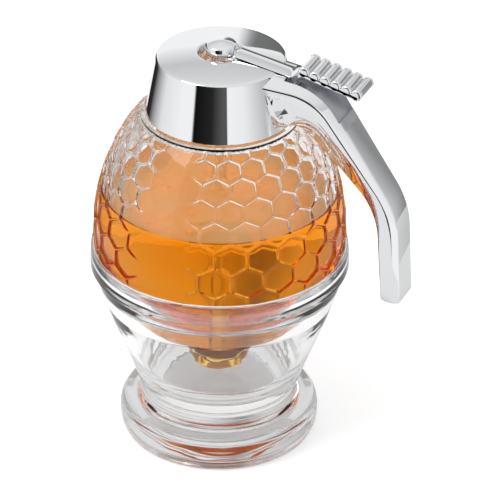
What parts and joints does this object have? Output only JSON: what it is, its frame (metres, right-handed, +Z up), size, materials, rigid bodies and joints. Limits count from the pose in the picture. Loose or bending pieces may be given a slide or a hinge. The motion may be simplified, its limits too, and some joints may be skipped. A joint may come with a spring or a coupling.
{
  "type": "honey dispenser",
  "caption": "Glass honey jar with a honeycomb relief, metal press cap with side handle, thumb lever and valve rod, standing in a clear glass stand, part filled with honey",
  "frame": {"origin": "on the jar's axis, at the underside of the stand's foot", "axes": "+Z up along the jar's axis; +X towards the handle and the lever; -Y the side of the jar's plain panel"},
  "size_m": [0.1177, 0.0926, 0.1566],
  "materials": {
    "stand_glass": "clear pressed glass",
    "jar_glass": "clear pressed glass with a honeycomb relief",
    "honey": "clear amber honey",
    "chrome_cap": "polished chrome",
    "steel_pin": "turned steel pin",
    "chrome_lever": "polished chrome",
    "chrome_knob": "polished chrome",
    "steel_rod": "bright steel rod",
    "stopper_plastic": "food-safe plastic, amber with honey; its colour is a guess"
  },
  "bodies": {
    "dispenser": {"stand": "stand_glass", "jar": "jar_glass", "honey": "honey", "cap": "chrome_cap", "pivot_pin": "steel_pin"},
    "lever": {"lever": "chrome_lever"},
    "plunger": {"knob": "chrome_knob", "rod": "steel_rod", "stopper": "stopper_plastic"}
  },
  "joints": [
    {"name": "lever_press", "type": "hinge", "parent": "dispenser", "child": "lever", "pos_m": [0.0248, 0, 0.1441], "axis": [0, 1, 0], "range_deg": [0, 11.4]},
    {"name": "plunger_lift", "type": "slide", "parent": "dispenser", "child": "plunger", "axis": [0, 0, 1], "range_m": [0, 0.005], "stiffness_N_per_m": 300, "springref_m": -0.003}
  ],
  "couplings": [
    {"joint": "lever_press", "follows": "plunger_lift", "rad_per_m": 39.79}
  ]
}
